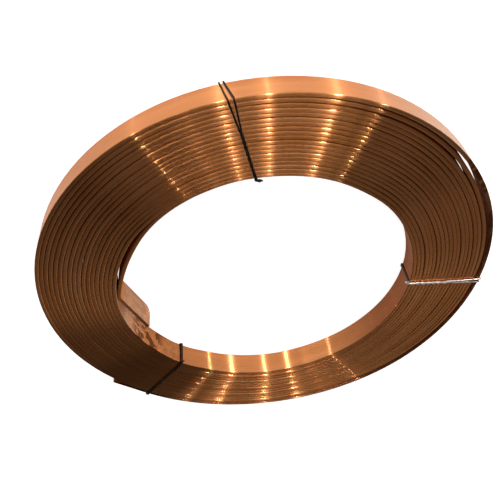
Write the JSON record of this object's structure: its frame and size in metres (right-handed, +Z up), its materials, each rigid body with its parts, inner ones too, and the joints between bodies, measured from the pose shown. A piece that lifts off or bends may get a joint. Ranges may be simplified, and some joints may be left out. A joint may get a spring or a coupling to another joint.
{
  "type": "copper strip coil",
  "caption": "Flat spiral coil of rectangular copper strip lying on its side, bound with doubled wire ties, with a short outer end and a bent free inner end.",
  "frame": {"origin": "on the floor, under the centre of the coil", "axes": "+Z up along the coil's axis; the side shown nearest in the picture, with the front tie, faces -Y"},
  "size_m": [0.3544, 0.358, 0.0231],
  "materials": {
    "copper": "satin",
    "tie_wire": "satin"
  },
  "bodies": {
    "root": {"strip_coil": "copper", "tie_front": "tie_wire", "tie_left": "tie_wire", "tie_rear": "tie_wire"}
  },
  "joints": []
}
